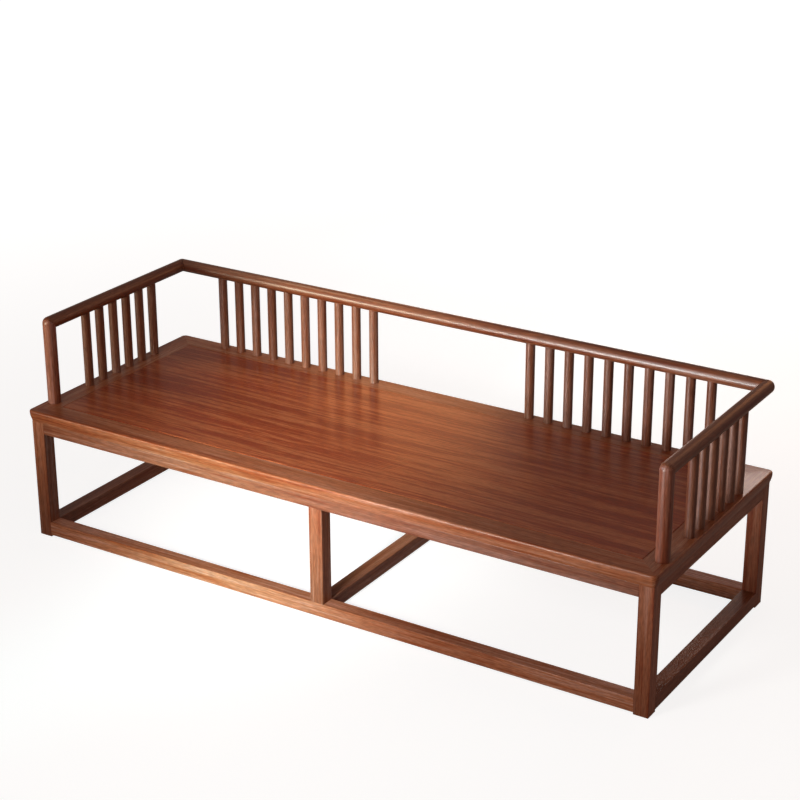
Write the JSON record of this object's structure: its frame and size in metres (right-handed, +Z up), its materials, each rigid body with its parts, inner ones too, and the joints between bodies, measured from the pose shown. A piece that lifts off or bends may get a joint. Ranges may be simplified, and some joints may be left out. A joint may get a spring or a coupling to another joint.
{
  "type": "luohan daybed",
  "caption": "Low wooden luohan daybed with a mitred frame-and-panel seat on square legs and floor stretchers, and a comb-back gallery of round spindles on three sides.",
  "frame": {"origin": "on the floor, under the middle of the seat", "axes": "+X along the length, to the right as seen from the open front; +Y from the open front towards the back rail; +Z up"},
  "size_m": [2, 0.738, 0.662],
  "materials": {
    "frame_wood": "satin lacquer",
    "panel_wood": "satin lacquer",
    "base_wood": "satin lacquer",
    "rail_wood": "satin lacquer",
    "post_wood": "satin lacquer",
    "spindle_wood": "satin lacquer"
  },
  "bodies": {
    "root": {"seat_frame_front": "frame_wood", "seat_frame_back": "frame_wood", "seat_frame_left": "frame_wood", "seat_frame_right": "frame_wood", "seat_panel": "panel_wood", "batten_left": "base_wood", "batten_middle": "base_wood", "batten_right": "base_wood", "leg_front_left": "base_wood", "leg_front_right": "base_wood", "leg_back_left": "base_wood", "leg_back_right": "base_wood", "leg_front_middle": "base_wood", "leg_back_middle": "base_wood", "apron_front": "base_wood", "apron_back": "base_wood", "apron_left": "base_wood", "apron_right": "base_wood", "stretcher_front": "base_wood", "stretcher_back": "base_wood", "stretcher_left": "base_wood", "stretcher_right": "base_wood", "stretcher_middle": "base_wood", "back_rail": "rail_wood", "arm_rail_left": "rail_wood", "arm_rail_right": "rail_wood", "front_post_left": "post_wood", "front_post_right": "post_wood", "back_spindle_left_01": "spindle_wood", "back_spindle_left_02": "spindle_wood", "back_spindle_left_03": "spindle_wood", "back_spindle_left_04": "spindle_wood", "back_spindle_left_05": "spindle_wood", "back_spindle_left_06": "spindle_wood", "back_spindle_left_07": "spindle_wood", "back_spindle_left_08": "spindle_wood", "back_spindle_left_09": "spindle_wood", "back_spindle_left_10": "spindle_wood", "back_spindle_right_01": "spindle_wood", "back_spindle_right_02": "spindle_wood", "back_spindle_right_03": "spindle_wood", "back_spindle_right_04": "spindle_wood", "back_spindle_right_05": "spindle_wood", "back_spindle_right_06": "spindle_wood", "back_spindle_right_07": "spindle_wood", "back_spindle_right_08": "spindle_wood", "back_spindle_right_09": "spindle_wood", "back_spindle_right_10": "spindle_wood", "arm_spindle_left_1": "spindle_wood", "arm_spindle_left_2": "spindle_wood", "arm_spindle_left_3": "spindle_wood", "arm_spindle_left_4": "spindle_wood", "arm_spindle_left_5": "spindle_wood", "arm_spindle_left_6": "spindle_wood", "arm_spindle_right_1": "spindle_wood", "arm_spindle_right_2": "spindle_wood", "arm_spindle_right_3": "spindle_wood", "arm_spindle_right_4": "spindle_wood", "arm_spindle_right_5": "spindle_wood", "arm_spindle_right_6": "spindle_wood"}
  },
  "joints": []
}
